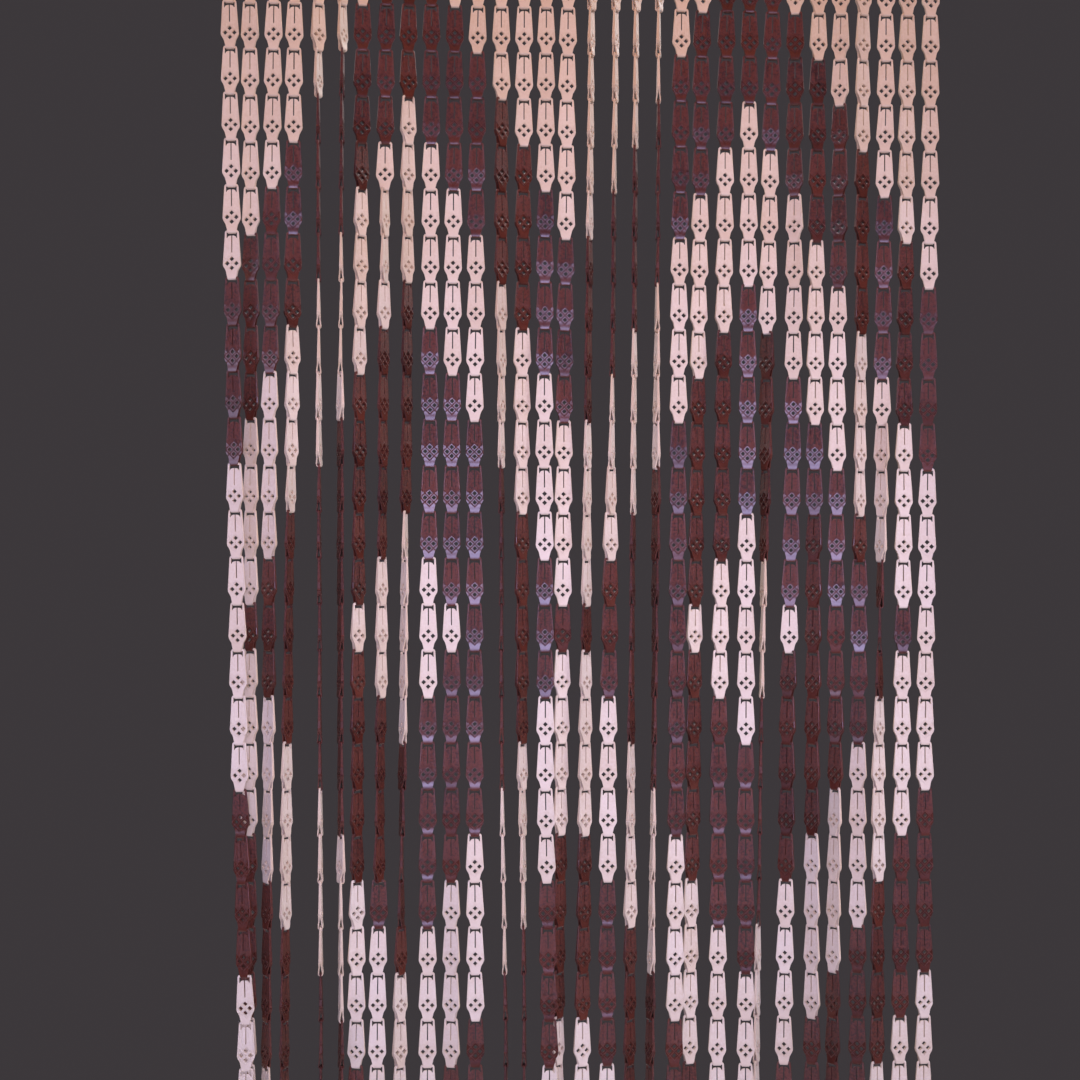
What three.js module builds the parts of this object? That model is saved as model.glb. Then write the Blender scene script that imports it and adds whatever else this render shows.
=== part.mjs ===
// Door curtain of hooked plastic links: strands hang side by side from a row of plain heads.
// Millimetres, +Z up. The origin is the middle of the top edge, and the front faces -Y.

import * as THREE from 'three';

// Driving dimensions.
const strandPitch = 30;
const linkPitch = 60.5; // slot to slot along a strand
const linksPerStrand = 33;

const headGap = 0.3; // between neighbouring heads
const headDepth = 5;
const headPlateHeight = 13;
const headDrop = 26; // top edge down to the slot of the first link

const shoulderWidth = 23.8; // widest place of a link
const shoulderDepth = 3.2; // two layers of strip lying together
const shoulderBelowSlot = 39;
const neckWidth = 16; // narrow place, where the foot of a link meets the ears of the next
const neckDepth = 6.4;
const neckAboveSlot = 8;
const tipBelowSlot = 2; // the last loop, which holds nothing

// The diamonds: steps out from a diamond's middle strand and middle row, and the colour from there on.
const diamondStrands = [9, 24];
const middleLink = 17;
const colourBands = [
  { from: 0, colour: 'cream' },
  { from: 3, colour: 'brown' },
  { from: 8, colour: 'cream' },
  { from: 12, colour: 'brown' },
  { from: 16, colour: 'cream' },
];
const finishes = {
  cream: { color: '#ead3cd', roughness: 0.45, metalness: 0 },
  brown: { color: '#4f2624', roughness: 0.35, metalness: 0 },
};

// How the strands hang. Every strand starts straight at its head.
// sway: mm sideways at swayHeights below the top edge.
// depth: mm, minus towards the front, reached at depthHeight.
// turn: degrees about the strand at the numbered links, with straight lines between.
const swayHeights = [0, 230, 714, 1198, 1570];
const depthHeight = 714;
const strands = [
  { sway: [4, 13, 24, 35], depth: -11, turn: { 8: 0, 12: -22, 16: -10, 20: -8, 22: -25, 24: -28,
      25: -4 } },
  { sway: [0, 4, 5, 5], depth: 10, turn: { 8: -12, 12: -30, 16: -32, 24: -15 } },
  { sway: [1, -1, 0, 0], depth: 0, turn: { 4: 0, 9: -8, 16: -36, 18: -40, 21: -55, 23: -53, 24: -58 } },
  { sway: [-2, -2, -6, -7], depth: 0, turn: { 8: 5, 11: 38, 13: 52, 14: 67, 17: 68, 19: 62, 23: 60,
      24: 67 } },
  { sway: [-1, 3, 7, 11], depth: 2, turn: { 4: 44, 5: 71, 6: 89, 11: 91, 12: 83, 13: 82, 14: 89, 20: 91,
      21: 86, 26: 91 } },
  { sway: [1, 1, 4, 7], depth: -2, turn: { 4: 64, 5: 86, 11: 93, 12: 108, 21: 104, 22: 113, 23: 97,
      26: 103 } },
  { sway: [-3, -4, -4, -3], depth: 0, turn: { 4: 5, 6: 18, 7: 42, 15: 50, 16: 43, 19: 43, 20: 50,
      22: 47, 23: 37, 24: 18, 25: -8, 26: -15 } },
  { sway: [-2, -3, -4, -6], depth: 1, turn: { 4: 0, 6: 12, 7: 6, 8: 66, 9: 69, 10: 48, 11: 57, 15: 67,
      16: 54, 18: 55, 20: 65, 21: 65, 22: 58, 23: 5, 26: 0 } },
  { sway: [-3, -2, -5, -6], depth: 0, turn: { 4: 14, 8: 52, 9: 48, 10: 57, 14: 58, 15: 80, 16: 110,
      20: 111, 23: 76, 24: 55, 25: 43 } },
  { sway: [-3, -2, -2, 0], depth: -1, turn: { 4: 5, 8: 0, 12: 4, 16: 0, 20: 4, 24: 0 } },
  { sway: [-2, -3, -1, 1], depth: 0, turn: { 12: 0, 20: -6, 24: -22 } },
  { sway: [-2, -3, -1, 3], depth: -1, turn: { 8: -4, 20: 5, 24: 0 } },
  { sway: [-1, 2, 5, 13], depth: 1, turn: { 4: 5, 5: 16, 6: 40, 9: 42, 11: 62, 15: 85 } },
  { sway: [-1, -1, 2, 7], depth: 0, turn: { 4: 0, 6: 5, 7: 22, 10: 24, 11: 12, 12: 25, 15: 40, 18: 43,
      22: 75, 24: 85 } },
  { sway: [-2, -2, 2, 10], depth: -8, turn: { 12: 0, 24: -8 } },
  { sway: [-3, -5, -6, -8], depth: 8, turn: { 8: 0, 12: 8, 16: 5, 20: 38, 24: 48 } },
  { sway: [-2, -4, -5, -7], depth: 0, turn: { 4: 70, 5: 73, 12: 69, 17: 54, 19: 42, 25: 32, 26: 18 } },
  { sway: [0, -2, -5, -4], depth: -1, turn: { 4: 71, 7: 78, 12: 79, 13: 73, 15: 33, 19: 0 } },
  { sway: [-3, -3, -4, -4], depth: 1, turn: { 4: 73, 7: 77, 18: 74, 19: 66, 21: 63, 23: 41, 25: 46 } },
  { sway: [-3, -3, -4, -7], depth: 0, turn: { 4: 80, 5: 86, 9: 87, 13: 102, 14: 110, 17: 96, 19: 92,
      23: 95, 25: 110 } },
  { sway: [-3, -5, -5, -6], depth: -8, turn: { 8: 0, 20: 8 } },
  { sway: [-5, -7, -11, -14], depth: 9, turn: { 9: 4, 12: 23, 23: 28, 26: 19 } },
  { sway: [-3, -5, -8, -8], depth: 0, turn: { 8: 4, 12: 20, 24: 0 } },
  { sway: [-2, -3, -3, -1], depth: -6, turn: { 16: -3, 20: -8 } },
  { sway: [-1, -5, -10, -14], depth: 11, turn: { 9: -5, 10: -10, 11: -47, 12: -48, 13: -61, 17: -92,
      19: -98, 23: -99, 24: -113 } },
  { sway: [-1, -1, -7, -9], depth: 0, turn: { 8: -28, 12: -5, 17: -10, 18: -38, 22: -38, 23: -14 } },
  { sway: [0, -2, -3, -2], depth: 0, turn: { 8: 10, 12: 5, 14: -10, 15: -38, 20: -46, 25: -42,
      26: -30 } },
  { sway: [0, -2, -2, -4], depth: 1, turn: { 4: -25, 8: -34, 10: -10, 12: 0, 16: -5, 21: -59, 23: -53 } },
  { sway: [0, -1, -2, -1], depth: -1, turn: { 4: 28, 7: 26, 10: 31, 11: 41, 12: 37, 14: 44, 15: 28,
      16: 2, 20: -32, 26: -26 } },
  { sway: [1, -2, -4, -5], depth: 0, turn: { 4: -8, 11: -10, 12: -18, 13: -50, 15: -67, 18: -120,
      20: -148, 24: -148, 25: -155 } },
  { sway: [0, -2, -3, -4], depth: 1, turn: { 8: 15, 16: 0, 20: 6 } },
  { sway: [1, 0, -2, -2], depth: 0, turn: { 8: -6, 12: -20, 16: -12, 20: 4, 24: 8 } },
];

// Straight-line reading of a table, level past its ends.
function readTable(heights, values, height) {
  const last = heights.length - 1;
  if (height >= heights[last]) return values[last];
  const after = heights.findIndex((h) => h > height);
  const share = (height - heights[after - 1]) / (heights[after] - heights[after - 1]);
  return THREE.MathUtils.lerp(values[after - 1], values[after], share);
}

// Sections of one strand from its head to its last loop: height below the top edge, width and depth.
function strandSections() {
  const headWidth = strandPitch - headGap;
  const sections = [
    { below: 0, width: headWidth, depth: headDepth },
    { below: headPlateHeight, width: headWidth, depth: headDepth },
  ];
  for (let link = 0; link < linksPerStrand; link++) {
    const slot = headDrop + link * linkPitch;
    sections.push({ below: slot - neckAboveSlot, width: neckWidth, depth: neckDepth });
    sections.push({ below: slot + shoulderBelowSlot, width: shoulderWidth, depth: shoulderDepth });
  }
  const lastSlot = headDrop + linksPerStrand * linkPitch;
  sections.push({ below: lastSlot + tipBelowSlot, width: neckWidth, depth: neckDepth });
  return sections;
}

// Four-sided solid through the sections, each one shifted and turned as the strand hangs.
function strandGeometry({ sway, turn, depth }) {
  const corners = [[-1, -1], [1, -1], [1, 1], [-1, 1]];
  const positions = [];
  const sections = strandSections();
  for (const { below, width, depth: thick } of sections) {
    const free = below > headPlateHeight ? below : 0; // the heads stay in one line
    const x = readTable(swayHeights, [0, ...sway], free);
    const y = depth * THREE.MathUtils.smoothstep(free, 0, depthHeight);
    const link = free && (free - headDrop) / linkPitch + 0.5; // whole numbers are the middles of links
    const degrees = readTable([0, ...Object.keys(turn).map(Number)], [0, ...Object.values(turn)], link);
    const angle = THREE.MathUtils.degToRad(degrees);
    for (const [side, face] of corners) {
      const across = side * width / 2;
      const through = face * thick / 2;
      positions.push(x + across * Math.cos(angle) - through * Math.sin(angle));
      positions.push(y + across * Math.sin(angle) + through * Math.cos(angle));
      positions.push(-below);
    }
  }
  const index = [];
  const n = corners.length;
  for (let s = 0; s < sections.length - 1; s++) {
    for (let c = 0; c < n; c++) {
      const a = s * n + c;
      const b = s * n + (c + 1) % n;
      index.push(a, a + n, b, b, a + n, b + n);
    }
  }
  const end = (sections.length - 1) * n;
  index.push(0, 1, 2, 0, 2, 3);
  index.push(end, end + 2, end + 1, end, end + 3, end + 2);
  const geometry = new THREE.BufferGeometry();
  geometry.setAttribute('position', new THREE.Float32BufferAttribute(positions, 3));
  geometry.setIndex(index);
  geometry.computeVertexNormals();
  return geometry;
}

function linkColour(strandNumber, linkNumber) {
  const across = Math.min(...diamondStrands.map((middle) => Math.abs(strandNumber - middle)));
  const steps = across + Math.abs(linkNumber - middleLink);
  return colourBands.findLast((band) => steps >= band.from).colour;
}

// A strand is one solid here, so it takes the colour that most of its links have.
function strandColour(strandNumber) {
  let creamLinks = 0;
  for (let link = 1; link <= linksPerStrand; link++) {
    if (linkColour(strandNumber, link) === 'cream') creamLinks++;
  }
  return creamLinks * 2 > linksPerStrand ? 'cream' : 'brown';
}

const curtain = new THREE.Group();
strands.forEach((hang, i) => {
  const material = new THREE.MeshStandardMaterial(finishes[strandColour(i + 1)]);
  const strand = new THREE.Mesh(strandGeometry(hang), material);
  strand.name = `strand_${String(i + 1).padStart(2, '0')}`;
  strand.position.x = (i - (strands.length - 1) / 2) * strandPitch;
  curtain.add(strand);
});

export default curtain;
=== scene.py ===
import bpy
import bmesh
import math
import random
from mathutils import Matrix, Vector
from mathutils.geometry import tessellate_polygon


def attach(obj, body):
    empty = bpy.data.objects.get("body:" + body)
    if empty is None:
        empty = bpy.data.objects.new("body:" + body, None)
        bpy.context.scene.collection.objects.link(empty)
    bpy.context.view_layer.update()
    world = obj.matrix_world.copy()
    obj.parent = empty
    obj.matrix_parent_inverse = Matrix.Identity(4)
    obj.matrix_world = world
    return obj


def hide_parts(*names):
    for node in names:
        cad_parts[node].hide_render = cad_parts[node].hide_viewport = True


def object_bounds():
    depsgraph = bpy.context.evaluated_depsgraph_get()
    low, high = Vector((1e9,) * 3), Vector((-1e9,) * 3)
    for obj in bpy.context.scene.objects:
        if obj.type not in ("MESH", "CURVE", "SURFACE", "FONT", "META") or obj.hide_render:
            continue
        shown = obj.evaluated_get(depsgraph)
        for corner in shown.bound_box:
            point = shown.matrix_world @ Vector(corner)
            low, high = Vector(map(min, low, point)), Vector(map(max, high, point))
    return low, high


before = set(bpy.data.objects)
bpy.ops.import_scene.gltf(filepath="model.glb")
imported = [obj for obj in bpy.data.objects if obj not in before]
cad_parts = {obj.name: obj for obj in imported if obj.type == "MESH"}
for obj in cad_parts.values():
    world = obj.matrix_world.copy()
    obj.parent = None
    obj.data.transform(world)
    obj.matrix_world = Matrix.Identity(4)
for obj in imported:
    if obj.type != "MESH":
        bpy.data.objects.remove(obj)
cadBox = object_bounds()
mm = 0.001
print("frame loaded:", len(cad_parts), "strands")


view = {
    "aim": (-0.0512, 0.0, -0.9061),  # point of the curtain in the middle of the frame
    "distance": 2.6,
    "yaw": 3.02,  # degrees, standing a little to the left
    "pitch": 0.23,
    "roll": 0.33,
    "lens": 65.84,
    "sensorWidth": 36,
}


def placeCamera():
    yaw, pitch, roll = (math.radians(view[k]) for k in ("yaw", "pitch", "roll"))
    ahead = Vector((math.sin(yaw) * math.cos(pitch), math.cos(yaw) * math.cos(pitch), math.sin(pitch)))
    level = ahead.cross(Vector((0, 0, 1))).normalized()
    above = level.cross(ahead)
    right = level * math.cos(roll) + above * math.sin(roll)
    up = above * math.cos(roll) - level * math.sin(roll)
    turn = Matrix((right, up, -ahead)).transposed().to_4x4()
    data = bpy.data.cameras.new("camera")
    data.sensor_fit = "HORIZONTAL"
    data.sensor_width = view["sensorWidth"]
    data.lens = view["lens"]
    camera = bpy.data.objects.new("camera", data)
    camera.matrix_world = Matrix.Translation(Vector(view["aim"]) - ahead * view["distance"]) @ turn
    bpy.context.scene.collection.objects.link(camera)
    bpy.context.scene.camera = camera
    bpy.context.scene.view_settings.view_transform = "Standard"


placeCamera()
print("camera placed")


# mm, across and up from the lower edge of the loop that hangs in its slot
link = {
    "outline": [
        (6.1, 4.6), (7.7, 4.1), (8.75, 2.9), (9.15, 1.2), (11.7, -38.6), (11.8, -39.7), (11.3, -41.75),
        (10.9, -42.8), (10.4, -43.7), (9.25, -45.7), (8.15, -47.8), (7.7, -49.0),
    ],
    "slot": [
        (6.9, 1.5), (7.0, -5.6), (6.1, -5.9), (4.9, -3.6), (2.9, -2.75), (0.75, -2.5),
        (0.75, -24.3), (0, -24.9),  # the slit
    ],
    "clusterHeight": -38.8,  # middle of the four pierced diamonds
    "clusterStep": 5.9,
    "diamondReach": 3.3,
    "pinReach": 0.6,
    "topThick": 1.2,  # half of the folded strip's two layers together
    "bottomThick": 2.4,
    "bevel": 0.5,
    "bevelDepth": 0.7,  # against its width
    "bevelEnd": -41,
    "legsPart": -42.8,  # the layers lie together down to here
    "foot": [  # height, half width, outer and inner face of a leg, height of the inner face
        (-49.0, 7.7, 2.4, 0.95, -49.0),
        (-52.4, 6.85, 2.9, 1.4, -52.4),
        (-56.2, 6.0, 3.35, 1.85, -56.2),
        (-58.6, 5.35, 3.2, 1.75, -57.8),
        (-60.1, 4.95, 2.0, 1.1, -58.8),
        (-60.5, 4.85, 0.0, 0.0, -59.0),
    ],
}
head = {
    "width": 29.7,
    "height": 13,
    "depth": 5,
    "bevel": 0.8,
    "foot": [  # as for the link
        (-12.5, 8.3, 2.2, 0.0, -12.5),
        (-15.0, 7.6, 2.6, 0.8, -15.0),
        (-18.0, 6.9, 3.0, 1.3, -18.0),
        (-21.7, 6.0, 3.35, 1.8, -21.7),
        (-24.1, 5.35, 3.2, 1.75, -23.3),
        (-25.6, 4.95, 2.0, 1.1, -24.3),
        (-26.0, 4.85, 0.0, 0.0, -24.5),
    ],
}

meshing = {
    "merge": 0.00001,  # metres
    "cutFace": 0.25,  # a face that looks less than this through the curtain is a cut edge
    "sharpAngle": 32,
    "uvUnit": 100,  # mm
    "uvOrigin": (0.5, 0.7),  # uv of the place that a link hangs from
}


def bothSides(half):
    return half + [(-x, z) for x, z in reversed(half) if x > 0]


def diamond(x, z, reach):
    return [(x, z + reach), (x + reach, z), (x, z - reach), (x - reach, z)]


def pulledIn(points, amounts):
    out = []
    for i, point in enumerate(points):
        here = Vector(point)
        before, after = Vector(points[i - 1]), Vector(points[(i + 1) % len(points)])
        a, b = (here - before).normalized(), (after - here).normalized()
        inward = Vector((a.y + b.y, -a.x - b.x)).normalized()
        lean = max(0.5, inward.dot(Vector((a.y, -a.x))))  # a sharp corner goes in twice as far at most
        out.append(tuple(here + inward * amounts[i] / lean))
    return out


def ring(bm, points, depths):
    return [bm.verts.new((x * mm, y * mm, z * mm)) for (x, z), y in zip(points, depths)]


def sheet(bm, loops, face, top, bottom):
    # fills the first loop less the others; top and bottom are (height, depth) of a leaning plane
    rings = []
    for loop in loops:
        shares = [(top[0] - z) / (top[0] - bottom[0]) for x, z in loop]
        rings.append(ring(bm, loop, [face * (top[1] + (bottom[1] - top[1]) * s) for s in shares]))
    verts = [v for r in rings for v in r]
    for corners in tessellate_polygon([[Vector((x, z, 0)) for x, z in loop] for loop in loops]):
        bm.faces.new([verts[i] for i in corners])
    return rings


def wall(bm, front, back, inFront=None, inBack=None, openEdge=None):
    # joins two rings; where the layers part, each one is joined to its own inside
    inFront = inFront or [None] * len(front)
    for i in range(len(front)):
        j = (i + 1) % len(front)
        if i == openEdge:
            continue
        if inFront[i] and inFront[j]:
            bm.faces.new((front[i], front[j], inFront[j], inFront[i]))
            bm.faces.new((back[i], back[j], inBack[j], inBack[i]))
        else:
            corners = (front[i], front[j], inFront[j], back[j], back[i], inFront[i])
            bm.faces.new([v for v in corners if v])


def loopFaces(bm, stations):
    # the foot of the strip, bent into a hairpin: outside, inside and edges of both legs
    last = len(stations) - 1
    for face in (-1, 1):
        outer, inner = [], []
        for z, w, yOut, yIn, zIn in stations:
            outer.append(ring(bm, [(-w, z), (w, z)], [face * yOut] * 2))
            inner.append(ring(bm, [(-w, zIn), (w, zIn)], [face * yIn] * 2))
        for i in range(last):
            o, p, q, r = outer[i], outer[i + 1], inner[i], inner[i + 1]
            bm.faces.new((o[0], o[1], p[1], p[0]))
            bm.faces.new((q[0], q[1], r[1], r[0]))
            for side in (0, 1):
                bm.faces.new((o[side], p[side], r[side], q[side]))


def finishMesh(bm, name):
    bmesh.ops.remove_doubles(bm, verts=bm.verts, dist=meshing["merge"])
    bmesh.ops.recalc_face_normals(bm, faces=bm.faces)
    bm.normal_update()
    uv = bm.loops.layers.uv.new("linkUv")  # across and up
    unit, (left, low) = meshing["uvUnit"] * mm, meshing["uvOrigin"]
    cut = bm.faces.layers.float.new("cut")  # 1 on edges and on the sides of holes
    for face in bm.faces:
        face.smooth = True
        face[cut] = 1.0 if abs(face.normal.y) < meshing["cutFace"] else 0.0
        for loop in face.loops:
            loop[uv].uv = (loop.vert.co.x / unit + left, loop.vert.co.z / unit + low)
    mesh = bpy.data.meshes.new(name)
    bm.to_mesh(mesh)
    bm.free()
    mesh.set_sharp_from_angle(angle=math.radians(meshing["sharpAngle"]))
    return bpy.data.objects.new(name, mesh)


def makeLink():
    bm = bmesh.new()
    outline = bothSides(link["outline"])
    openEdge = len(link["outline"]) - 1  # the loop goes on from here
    topZ, parting, endZ = outline[0][1], link["legsPart"], outline[openEdge][1]
    step, mid, reach = link["clusterStep"], link["clusterHeight"], link["diamondReach"]
    holes = [bothSides(link["slot"]), diamond(0, mid + step, reach), diamond(0, mid, link["pinReach"])]
    holes += [diamond(-step, mid, reach), diamond(step, mid, reach)]
    # the lowest diamond goes through both legs, so it has two more points at the parting
    lowHole = diamond(0, mid - step, reach)
    cut = lowHole[0][1] - parting
    lowHole = [lowHole[0], (cut, parting)] + lowHole[1:] + [(-cut, parting)]
    parted = [i for i, (x, z) in enumerate(outline) if z <= parting]
    legInside = [outline[i] for i in parted] + lowHole[:0:-1]
    bevels = [link["bevel"] if z > link["bevelEnd"] else 0 for x, z in outline]

    sides = []
    for face in (-1, 1):
        loops = [pulledIn(outline, bevels)] + holes + [lowHole]
        flats = sheet(bm, loops, face, (topZ, link["topThick"]), (endZ, link["bottomThick"]))
        drops = [face * b * link["bevelDepth"] for b in bevels]
        edge = ring(bm, outline, [v.co.y / mm - drop for v, drop in zip(flats[0], drops)])
        wall(bm, edge, flats[0], openEdge=openEdge)
        inside = sheet(bm, [legInside], face, (parting, 0), (endZ, link["foot"][0][3]))[0]
        inEdge = [None] * len(outline)
        for i, v in zip(parted, inside):
            inEdge[i] = v
        sides.append((edge, inEdge, flats[-1], [None] + inside[:len(parted) - 1:-1], flats[1:-1]))
    edge, inEdge, low, inLow, pierced = sides[0]
    backEdge, inBackEdge, backLow, inBackLow, backPierced = sides[1]
    wall(bm, edge, backEdge, inEdge, inBackEdge, openEdge)
    wall(bm, low, backLow, inLow, inBackLow)
    for front, back in zip(pierced, backPierced):
        wall(bm, front, back)
    loopFaces(bm, link["foot"])
    return finishMesh(bm, "link")


def makeHead():
    bm = bmesh.new()
    w, h, d = head["width"] * mm, head["height"] * mm, head["depth"] * mm
    place = Matrix.Translation((0, 0, -h / 2)) @ Matrix.Diagonal((w, d, h, 1))
    bmesh.ops.create_cube(bm, size=1, matrix=place)
    bmesh.ops.bevel(bm, geom=bm.edges[:], offset=head["bevel"] * mm, segments=1, affect="EDGES")
    loopFaces(bm, head["foot"])
    return finishMesh(bm, "head")


linkShape = makeLink()
headShape = makeHead()
print("link:", len(linkShape.data.polygons), "faces, head:", len(headShape.data.polygons))


creamPlastic = {
    "pale": (0.775, 0.665, 0.635, 1),
    "deep": (0.61, 0.455, 0.36, 1),
    "rough": (0.45, 0.57),  # foot and rim, grained panels
    "edge": (0.35, 0.4),  # how much darker (painted shade) and duller the cut edges and hole sides are
    "shine": 0.42,
    "relief": 0.6,
    "grain": 0.3,
    "mottle": 0.6,
    "patches": 9,  # per metre
}
brownPlastic = {
    "pale": (0.13, 0.031, 0.021, 1),
    "deep": (0.022, 0.0042, 0.0036, 1),
    "rough": (0.26, 0.44),
    "edge": (0.05, 0.38),
    "shine": 0.76,
    "relief": 1.2,
    "grain": 1.8,
    "mottle": 2.4,
    "patches": 14,
}
bothPlastics = {
    "fineScale": 1400,  # per metre
    "mottleScale": 330,
    "grainDetail": 2,
    "patchDetail": 3,
    "plainFleck": 0.2,  # mottling left beside the panels and ribs
    "base": 0.225,  # the shade runs from 0, deep, to fullShade, pale
    "patchShare": 0.5,
    "toneShare": 0.25,  # from link to link
    # painted sheen: how much paler the panels and ribs are made
    "paintedPanelSheen": 0.1,
    "fullShade": 1.1,
    "fleckGloss": 0.15,
    "bump": 0.0004,  # metres
}
# raised work on a link's face, mm; each pair is where an edge starts and ends
faceWork = {
    "halfWidth": (-0.064, 9.23),  # change for each mm up, and size at the hook
    "flat": (-41.0, -40.0),
    "rim": (1.3, 1.8),
    "rib": (0.5, 1.1),
    "ribsEnd": (12.5, 14.5),  # above and below the middle of the pierced diamonds
    "panelEdge": (-0.2, 0.5),
    "ridgePlace": 4.6,  # across
    "ridge": (0.3, 0.7),
    "ridgeTop": (-6, -7.5),
    "ridgeHeight": 0.5,  # against the rim
    "rimShine": 0.6,  # how far the rim beside a panel stays smooth
}


def calc(tree, operation, a, b=0.0, c=0.0):
    node = tree.nodes.new("ShaderNodeMath")
    node.operation = operation
    for socket, value in zip(node.inputs, (a, b, c)):
        if isinstance(value, (int, float)):
            socket.default_value = value
        else:
            tree.links.new(value, socket)
    return node.outputs[0]


def ramp(tree, value, low, high, toLow=0.0, toHigh=1.0):
    node = tree.nodes.new("ShaderNodeMapRange")
    node.interpolation_type = "SMOOTHSTEP"
    tree.links.new(value, node.inputs["Value"])
    for name, number in (("From Min", low), ("From Max", high), ("To Min", toLow), ("To Max", toHigh)):
        node.inputs[name].default_value = number
    return node.outputs["Result"]


def noise(tree, scale, detail):
    place = tree.nodes.new("ShaderNodeTexCoord")
    node = tree.nodes.new("ShaderNodeTexNoise")
    node.inputs["Scale"].default_value = scale
    node.inputs["Detail"].default_value = detail
    tree.links.new(place.outputs["Object"], node.inputs["Vector"])
    return node.outputs["Fac"]


def linkRelief(tree):
    # raised rim, crossing ribs round the pierced diamonds, and the grained panels above them
    place = tree.nodes.new("ShaderNodeUVMap")
    place.uv_map = "linkUv"
    split = tree.nodes.new("ShaderNodeSeparateXYZ")
    tree.links.new(place.outputs["UV"], split.inputs[0])
    unit, (left, low) = meshing["uvUnit"], meshing["uvOrigin"]
    across = calc(tree, "ABSOLUTE", calc(tree, "MULTIPLY_ADD", split.outputs[0], unit, -unit * left))
    up = calc(tree, "MULTIPLY_ADD", split.outputs[1], unit, -unit * low)
    fromEdge = calc(tree, "SUBTRACT", calc(tree, "MULTIPLY_ADD", up, *faceWork["halfWidth"]), across)
    onFlat = ramp(tree, up, *faceWork["flat"])
    rim = calc(tree, "MULTIPLY", ramp(tree, fromEdge, *faceWork["rim"], 1, 0), onFlat)

    step = link["clusterStep"]
    upFromCluster = calc(tree, "SUBTRACT", up, link["clusterHeight"])
    away = calc(tree, "ABSOLUTE", upFromCluster)
    crossing = calc(tree, "ABSOLUTE", calc(tree, "SUBTRACT", across, away))
    reach = calc(tree, "SUBTRACT", calc(tree, "ADD", across, away), 2 * step)
    fromRib = calc(tree, "MINIMUM", crossing, calc(tree, "ABSOLUTE", reach))
    rib = ramp(tree, fromRib, *faceWork["rib"], 1, 0)
    zigzag = calc(tree, "ABSOLUTE", calc(tree, "SUBTRACT", across, step))
    overZigzag = calc(tree, "SUBTRACT", upFromCluster, calc(tree, "ADD", zigzag, step))
    panel = ramp(tree, overZigzag, *faceWork["panelEdge"])
    underPanel = calc(tree, "SUBTRACT", 1.0, panel)
    nearCluster = ramp(tree, away, *faceWork["ribsEnd"], 1, 0)
    ribs = calc(tree, "MULTIPLY", calc(tree, "MULTIPLY", rib, underPanel), nearCluster)

    fromRidge = calc(tree, "ABSOLUTE", calc(tree, "SUBTRACT", across, faceWork["ridgePlace"]))
    ridge = ramp(tree, fromRidge, *faceWork["ridge"], 1, 0)
    belowSlot = ramp(tree, up, *faceWork["ridgeTop"])
    ridges = calc(tree, "MULTIPLY", calc(tree, "MULTIPLY", ridge, panel), belowSlot)
    ridges = calc(tree, "MULTIPLY", ridges, faceWork["ridgeHeight"])
    raised = calc(tree, "MAXIMUM", calc(tree, "MAXIMUM", rim, ribs), ridges)
    panels = calc(tree, "MULTIPLY", panel, calc(tree, "MULTIPLY_ADD", rim, -faceWork["rimShine"], 1.0))
    return raised, calc(tree, "MAXIMUM", panels, ribs)


def makePlastic(name, finish):
    material = bpy.data.materials.new(name)
    material.use_nodes = True
    tree = material.node_tree
    shader = tree.nodes["Principled BSDF"]
    raised, matt = linkRelief(tree)
    both = bothPlastics
    fine = noise(tree, both["fineScale"], both["grainDetail"])
    mottle = noise(tree, both["mottleScale"], both["grainDetail"])
    patches = noise(tree, finish["patches"], both["patchDetail"])
    fleckShare = calc(tree, "MULTIPLY_ADD", matt, 1 - both["plainFleck"], both["plainFleck"])
    fleck = calc(tree, "MULTIPLY", calc(tree, "SUBTRACT", mottle, 0.5), fleckShare)

    # colour: slow patches, a tone for each link, fine mottling, painted sheen making the panels and
    # ribs paler, and painted shade darkening the cut edges and hole sides
    tone = tree.nodes.new("ShaderNodeAttribute")
    tone.attribute_name = "tone"
    cut = tree.nodes.new("ShaderNodeAttribute")
    cut.attribute_name = "cut"
    shade = calc(tree, "MULTIPLY_ADD", patches, both["patchShare"], both["base"])
    shade = calc(tree, "MULTIPLY_ADD", tone.outputs["Fac"], both["toneShare"], shade)
    shade = calc(tree, "MULTIPLY_ADD", fleck, finish["mottle"], shade)
    # painted sheen: the grained panels and ribs are made paler, standing in for their reddish sheen
    shade = calc(tree, "MULTIPLY_ADD", matt, both["paintedPanelSheen"], shade)
    # painted shade: faces turned sideways, the cut edges and hole sides, are darkened
    shade = calc(tree, "MULTIPLY_ADD", cut.outputs["Fac"], -finish["edge"][0], shade)
    mix = tree.nodes.new("ShaderNodeMix")
    mix.data_type = "RGBA"
    mix.inputs[6].default_value = finish["deep"]  # the two colour sockets, A and B
    mix.inputs[7].default_value = finish["pale"]
    tree.links.new(ramp(tree, shade, 0.0, both["fullShade"]), mix.inputs[0])
    tree.links.new(mix.outputs[2], shader.inputs["Base Color"])

    # the panels and ribs are grained and duller than the rim and the foot; cut edges are dullest
    smooth, dull = finish["rough"]
    gloss = calc(tree, "MULTIPLY_ADD", matt, dull - smooth, smooth)
    gloss = calc(tree, "MULTIPLY_ADD", fleck, both["fleckGloss"], gloss)
    gloss = calc(tree, "MULTIPLY_ADD", cut.outputs["Fac"], finish["edge"][1], gloss)
    tree.links.new(gloss, shader.inputs["Roughness"])
    shader.inputs["Specular IOR Level"].default_value = finish["shine"]

    grain = calc(tree, "MULTIPLY", calc(tree, "ADD", fine, mottle), matt)
    grain = calc(tree, "MULTIPLY", grain, finish["grain"])
    bump = tree.nodes.new("ShaderNodeBump")
    bump.inputs["Strength"].default_value = 1.0
    bump.inputs["Distance"].default_value = both["bump"]
    tree.links.new(calc(tree, "MULTIPLY_ADD", raised, finish["relief"], grain), bump.inputs["Height"])
    tree.links.new(bump.outputs["Normal"], shader.inputs["Normal"])
    return material


finishes = {
    "cream": makePlastic("cream_plastic", creamPlastic),
    "brown": makePlastic("brown_plastic", brownPlastic),
}
print("plastics made")


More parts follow.
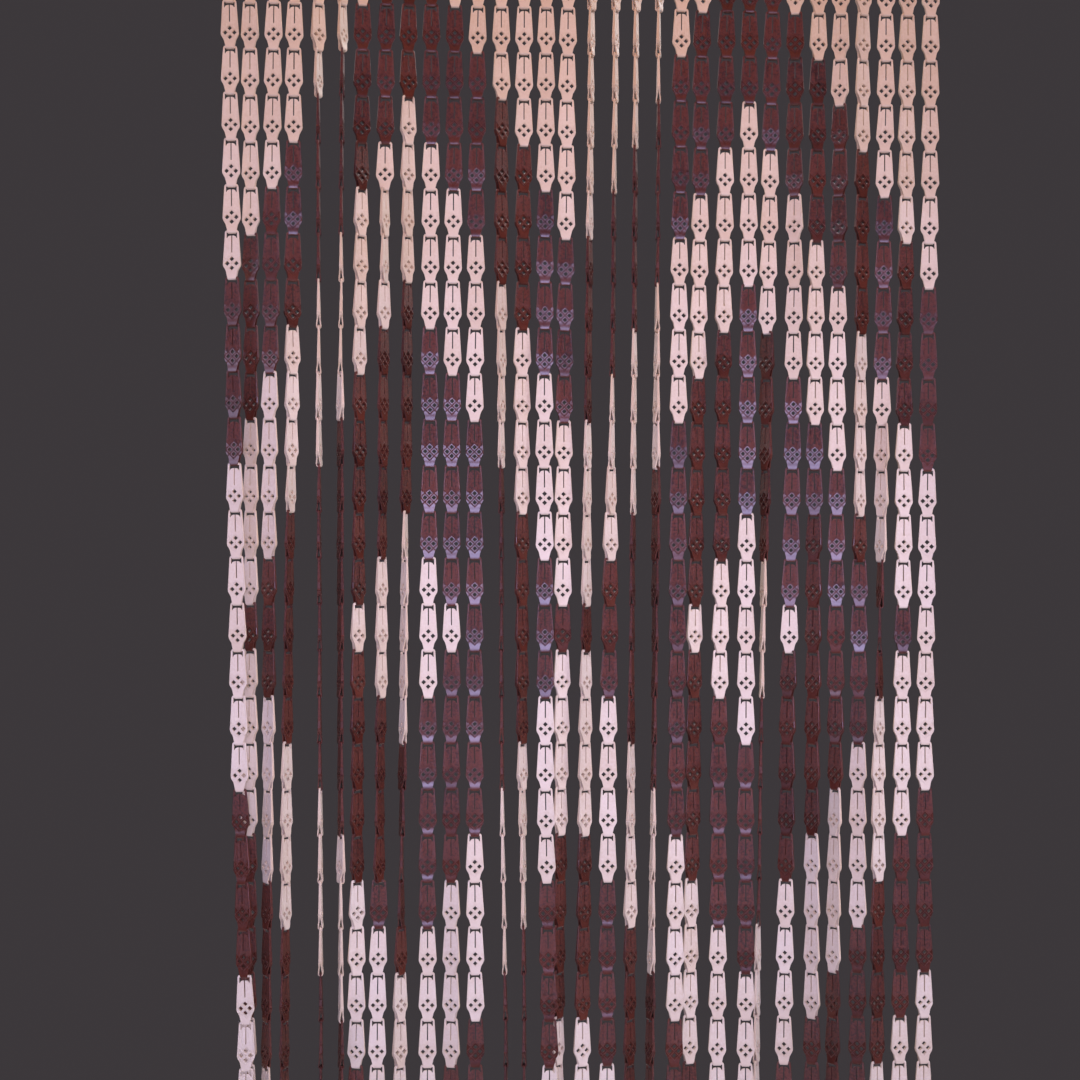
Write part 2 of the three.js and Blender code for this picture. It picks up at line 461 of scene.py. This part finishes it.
# how the strands hang: mm sideways at heights below the top edge, mm through, degrees
hang = {
    "pitch": 30,  # strand to strand
    "swayHeights": [0, 230, 714, 1198, 1570],
    "depthHeight": 714,
    "headDrop": 26,  # top edge to the slot of the first link
    "linkPitch": 60.5,
    "linksPerStrand": 33,
    "turnPlay": 1.5,  # degrees a link may turn from its strand's own line
    "acrossPlay": 0.4,  # mm a hook may sit off that line
    "throughPlay": 0.9,
    "playFrom": 3,  # links down from the head where hooks have all their play
    "seed": 1100,
    "strands": [  # sway, depth (minus is the front), turn at numbered links
        ([4, 13, 24, 35], -11, {8: 0, 12: -22, 16: -10, 20: -8, 22: -25, 24: -28, 25: -4}),
        ([0, 4, 5, 5], 10, {8: -12, 12: -30, 16: -32, 24: -15}),
        ([1, -1, 0, 0], 0, {4: 0, 9: -8, 16: -36, 18: -40, 21: -55, 23: -53, 24: -58}),
        ([-2, -2, -6, -7], 0, {8: 5, 11: 38, 13: 52, 14: 67, 17: 68, 19: 62, 23: 60, 24: 67}),
        ([-1, 3, 7, 11], 2, {4: 44, 5: 71, 6: 89, 11: 91, 12: 83, 13: 82, 14: 89, 20: 91, 21: 86,
         26: 91}),
        ([1, 1, 4, 7], -2, {4: 64, 5: 86, 11: 93, 12: 108, 21: 104, 22: 113, 23: 97, 26: 103}),
        ([-3, -4, -4, -3], 0, {4: 5, 6: 18, 7: 42, 15: 50, 16: 43, 19: 43, 20: 50, 22: 47, 23: 37,
         24: 18, 25: -8, 26: -15}),
        ([-2, -3, -4, -6], 1, {4: 0, 6: 12, 7: 6, 8: 66, 9: 69, 10: 48, 11: 57, 15: 67, 16: 54, 18: 55,
         20: 65, 21: 65, 22: 58, 23: 5, 26: 0}),
        ([-3, -2, -5, -6], 0, {4: 14, 8: 52, 9: 48, 10: 57, 14: 58, 15: 80, 16: 110, 20: 111, 23: 76,
         24: 55, 25: 43}),
        ([-3, -2, -2, 0], -1, {4: 5, 8: 0, 12: 4, 16: 0, 20: 4, 24: 0}),
        ([-2, -3, -1, 1], 0, {12: 0, 20: -6, 24: -22}),
        ([-2, -3, -1, 3], -1, {8: -4, 20: 5, 24: 0}),
        ([-1, 2, 5, 13], 1, {4: 5, 5: 16, 6: 40, 9: 42, 11: 62, 15: 85}),
        ([-1, -1, 2, 7], 0, {4: 0, 6: 5, 7: 22, 10: 24, 11: 12, 12: 25, 15: 40, 18: 43, 22: 75,
         24: 85}),
        ([-2, -2, 2, 10], -8, {12: 0, 24: -8}),
        ([-3, -5, -6, -8], 8, {8: 0, 12: 8, 16: 5, 20: 38, 24: 48}),
        ([-2, -4, -5, -7], 0, {4: 70, 5: 73, 12: 69, 17: 54, 19: 42, 25: 32, 26: 18}),
        ([0, -2, -5, -4], -1, {4: 71, 7: 78, 12: 79, 13: 73, 15: 33, 19: 0}),
        ([-3, -3, -4, -4], 1, {4: 73, 7: 77, 18: 74, 19: 66, 21: 63, 23: 41, 25: 46}),
        ([-3, -3, -4, -7], 0, {4: 80, 5: 86, 9: 87, 13: 102, 14: 110, 17: 96, 19: 92, 23: 95,
         25: 110}),
        ([-3, -5, -5, -6], -8, {8: 0, 20: 8}),
        ([-5, -7, -11, -14], 9, {9: 4, 12: 23, 23: 28, 26: 19}),
        ([-3, -5, -8, -8], 0, {8: 4, 12: 20, 24: 0}),
        ([-2, -3, -3, -1], -6, {16: -3, 20: -8}),
        ([-1, -5, -10, -14], 11, {9: -5, 10: -10, 11: -47, 12: -48, 13: -61, 17: -92, 19: -98, 23: -99,
         24: -113}),
        ([-1, -1, -7, -9], 0, {8: -28, 12: -5, 17: -10, 18: -38, 22: -38, 23: -14}),
        ([0, -2, -3, -2], 0, {8: 10, 12: 5, 14: -10, 15: -38, 20: -46, 25: -42, 26: -30}),
        ([0, -2, -2, -4], 1, {4: -25, 8: -34, 10: -10, 12: 0, 16: -5, 21: -59, 23: -53}),
        ([0, -1, -2, -1], -1, {4: 28, 7: 26, 10: 31, 11: 41, 12: 37, 14: 44, 15: 28, 16: 2, 20: -32,
         26: -26}),
        ([1, -2, -4, -5], 0, {4: -8, 11: -10, 12: -18, 13: -50, 15: -67, 18: -120, 20: -148, 24: -148,
         25: -155}),
        ([0, -2, -3, -4], 1, {8: 15, 16: 0, 20: 6}),
        ([1, 0, -2, -2], 0, {8: -6, 12: -20, 16: -12, 20: 4, 24: 8}),
    ],
}

# the two diamonds: steps out from a middle strand and the middle row, and the colour from there on
diamonds = {
    "strands": [9, 24],
    "row": 17,
    "bands": [(0, "cream"), (3, "brown"), (8, "cream"), (12, "brown"), (16, "cream")],
}
colours = list(finishes)  # a link's kind is its colour's place here
headKind = len(colours)  # the heads come with the first colour


def readTable(heights, values, height):
    for i in range(1, len(heights)):
        if height < heights[i]:
            share = (height - heights[i - 1]) / (heights[i] - heights[i - 1])
            return values[i - 1] + (values[i] - values[i - 1]) * share
    return values[-1]


def linkColour(strand, row):
    steps = min(abs(strand - s) for s in diamonds["strands"]) + abs(row - diamonds["row"])
    return [colour for start, colour in diamonds["bands"] if steps >= start][-1]


def hookTree():
    # puts a link on every point of one colour and a head on the point above them
    tree = bpy.data.node_groups.new("hookLinks", "GeometryNodeTree")
    face = tree.interface
    face.new_socket("Hooks", in_out="INPUT", socket_type="NodeSocketGeometry")
    face.new_socket("Link", in_out="INPUT", socket_type="NodeSocketObject")
    face.new_socket("Head", in_out="INPUT", socket_type="NodeSocketObject")
    face.new_socket("Colour", in_out="INPUT", socket_type="NodeSocketInt")
    face.new_socket("Finish", in_out="INPUT", socket_type="NodeSocketMaterial")
    face.new_socket("Seed", in_out="INPUT", socket_type="NodeSocketInt")
    face.new_socket("Strand", in_out="OUTPUT", socket_type="NodeSocketGeometry")
    nodes, wire = tree.nodes, tree.links.new
    given, result = nodes.new("NodeGroupInput"), nodes.new("NodeGroupOutput")

    kind = nodes.new("GeometryNodeInputNamedAttribute")
    kind.data_type = "INT"
    kind.inputs["Name"].default_value = "kind"
    aim = nodes.new("GeometryNodeInputNamedAttribute")
    aim.data_type = "FLOAT_VECTOR"
    aim.inputs["Name"].default_value = "aim"
    spin = nodes.new("FunctionNodeEulerToRotation")
    wire(aim.outputs["Attribute"], spin.inputs[0])

    join = nodes.new("GeometryNodeJoinGeometry")
    for shape, kindShift in (("Link", 0), ("Head", headKind)):
        info = nodes.new("GeometryNodeObjectInfo")
        wire(given.outputs[shape], info.inputs["Object"])
        wanted = nodes.new("FunctionNodeCompare")
        wanted.data_type = "INT"
        wanted.operation = "EQUAL"
        plus = nodes.new("ShaderNodeMath")
        plus.inputs[1].default_value = kindShift
        wire(given.outputs["Colour"], plus.inputs[0])
        wire(kind.outputs["Attribute"], wanted.inputs["A"])
        wire(plus.outputs[0], wanted.inputs["B"])
        copies = nodes.new("GeometryNodeInstanceOnPoints")
        wire(given.outputs["Hooks"], copies.inputs["Points"])
        wire(wanted.outputs["Result"], copies.inputs["Selection"])
        wire(info.outputs["Geometry"], copies.inputs["Instance"])
        wire(spin.outputs[0], copies.inputs["Rotation"])
        wire(copies.outputs["Instances"], join.inputs[0])

    chance = nodes.new("FunctionNodeRandomValue")
    chance.data_type = "FLOAT"
    wire(given.outputs["Seed"], chance.inputs["Seed"])
    keep = nodes.new("GeometryNodeStoreNamedAttribute")
    keep.data_type = "FLOAT"
    keep.domain = "INSTANCE"
    keep.inputs["Name"].default_value = "tone"
    wire(join.outputs[0], keep.inputs["Geometry"])
    wire(chance.outputs[1], keep.inputs["Value"])
    real = nodes.new("GeometryNodeRealizeInstances")
    paint = nodes.new("GeometryNodeSetMaterial")
    wire(keep.outputs[0], real.inputs[0])
    wire(real.outputs[0], paint.inputs["Geometry"])
    wire(given.outputs["Finish"], paint.inputs["Material"])
    wire(paint.outputs[0], result.inputs[0])
    return tree


def hookPoints(number):
    # a point where each link hangs, its turn and lean, and which colour it is
    sway, depth, turn = hang["strands"][number - 1]
    chance = random.Random(hang["seed"] + number)
    count = len(hang["strands"])
    left = (number - 1 - (count - 1) / 2) * hang["pitch"]
    places = []
    for row in range(hang["linksPerStrand"] + 1):
        below = hang["headDrop"] + row * hang["linkPitch"]
        share = min(1, below / hang["depthHeight"])
        x = left + readTable(hang["swayHeights"], [0] + sway, below)
        y = depth * share * share * (3 - 2 * share)  # eased in and out
        free = min(1, row / hang["playFrom"])
        x += chance.uniform(-1, 1) * hang["acrossPlay"] * free
        y += chance.uniform(-1, 1) * hang["throughPlay"] * free
        places.append(Vector((x, y, -below)) * mm)
    points, aims, kinds = [Vector((left * mm, 0, 0))], [Vector()], [headKind]
    for row in range(hang["linksPerStrand"]):
        angle = readTable([0, *turn], [0, *turn.values()], row + 1)
        angle += chance.uniform(-1, 1) * hang["turnPlay"]
        down = (places[row + 1] - places[row]).normalized()
        lean = Vector((0, 0, -1)).rotation_difference(down).to_matrix()
        spin = Matrix.Rotation(math.radians(angle), 3, "Z")
        points.append(places[row])
        aims.append(Vector((lean @ spin).to_euler("XYZ")))
        kinds.append(colours.index(linkColour(number, row + 1)))
    return points, aims, kinds


def makeStrand(number, group):
    points, aims, kinds = hookPoints(number)
    name = f"strand_{number:02d}"
    for kind, colour in enumerate(colours):
        mesh = bpy.data.meshes.new(f"{name}_{colour}")
        mesh.from_pydata(points, [], [])
        aim = mesh.attributes.new("aim", "FLOAT_VECTOR", "POINT")
        aim.data.foreach_set("vector", [c for a in aims for c in a])
        mesh.attributes.new("kind", "INT", "POINT").data.foreach_set("value", kinds)
        piece = bpy.data.objects.new(mesh.name, mesh)
        bpy.context.scene.collection.objects.link(piece)
        hooks = piece.modifiers.new("hookLinks", "NODES")
        hooks.node_group = group
        values = {"Link": linkShape, "Head": headShape, "Colour": kind, "Seed": number}
        values["Finish"] = finishes[colour]
        for socket in group.interface.items_tree:
            if socket.name in values:
                hooks[socket.identifier] = values[socket.name]
        drawn = bpy.context.evaluated_depsgraph_get()
        solid = bpy.data.meshes.new_from_object(piece.evaluated_get(drawn), depsgraph=drawn)
        piece.modifiers.clear()
        piece.data = solid
        solid.name = piece.name
        bpy.data.meshes.remove(mesh)
        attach(piece, "root")
        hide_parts(name)


hookGroup = hookTree()
for number in range(1, len(hang["strands"]) + 1):
    makeStrand(number, hookGroup)
for shape in (linkShape, headShape):
    bpy.data.objects.remove(shape)
print("strands hung:", len(hang["strands"]))


studio = {
    "floorReach": 1.25,
    "floorSides": 96,
    "floorGap": 0.02,  # under the lowest loops
    "floorColour": (0.6, 0.595, 0.59, 1),
    "floorRough": 0.8,
    "world": (0.046, 0.04, 0.044, 1),
    "lamps": [  # place, aimed at, width, height, spread, watts, colour, mirrored in the plastic
        # in front
        ((-2.5, -2.6, -0.35), (0, 0, -1.12), 2.2, 1.4, 40, 2.5, (0.66, 0.64, 1.0), True),
        ((0.4, -3.5, -0.7), (0, 0, -0.82), 2.4, 1.2, 32, 3.0, (1.0, 0.93, 0.88), False),
        ((2.5, -2.3, -1.3), (0, 0, -1.08), 1.4, 1.6, 40, 3.8, (1.0, 0.97, 1.0), False),
        ((0.2, -3.4, -0.5), (0, 0, -1.14), 2.6, 1.3, 40, 6.6, (0.58, 0.56, 1.0), True),
        # top edge, then the floor
        ((0.0, -0.9, 0.35), (0, 0, -0.3), 1.5, 0.35, 110, 3.2, (1.0, 0.47, 0.1), False),
        ((0.0, -1.8, 0.5), (0, -1.0, -2.05), 1.6, 1.0, 60, 7, (1.0, 0.98, 0.97), False),
        # behind
        ((-1.3, 1.7, 1.3), (0, 0, -1.0), 1.4, 1.2, 180, 56, (1.0, 0.98, 0.96), True),
        ((1.4, 1.6, 1.0), (0, 0, -1.0), 1.2, 1.2, 180, 38, (0.96, 0.98, 1.0), True),
    ],
}


def makeStudio():
    bm = bmesh.new()
    sides, reach = studio["floorSides"], studio["floorReach"]
    bmesh.ops.create_circle(bm, cap_ends=True, segments=sides, radius=reach)
    mesh = bpy.data.meshes.new("floor")
    bm.to_mesh(mesh)
    bm.free()
    floor = bpy.data.objects.new("floor", mesh)
    floor.location.z = cadBox[0][2] - studio["floorGap"]
    material = bpy.data.materials.new("floor_paint")
    material.use_nodes = True
    shader = material.node_tree.nodes["Principled BSDF"]
    shader.inputs["Base Color"].default_value = studio["floorColour"]
    shader.inputs["Roughness"].default_value = studio["floorRough"]
    mesh.materials.append(material)
    bpy.context.scene.collection.objects.link(floor)

    world = bpy.data.worlds.new("studio")
    world.use_nodes = True
    world.node_tree.nodes["Background"].inputs["Color"].default_value = studio["world"]
    bpy.context.scene.world = world
    for i, lampRow in enumerate(studio["lamps"]):
        place, target, width, height, spread, watts, colour, mirrored = lampRow
        data = bpy.data.lights.new(f"lamp_{i + 1}", "AREA")
        data.shape = "RECTANGLE"
        data.size, data.size_y = width, height
        data.spread = math.radians(spread)
        data.energy = watts
        data.color = colour
        lamp = bpy.data.objects.new(data.name, data)
        lamp.location = place
        lamp.visible_glossy = mirrored
        lamp.visible_camera = False
        lamp.rotation_euler = (Vector(target) - Vector(place)).to_track_quat("-Z", "Y").to_euler()
        bpy.context.scene.collection.objects.link(lamp)


makeStudio()
print("studio lit")
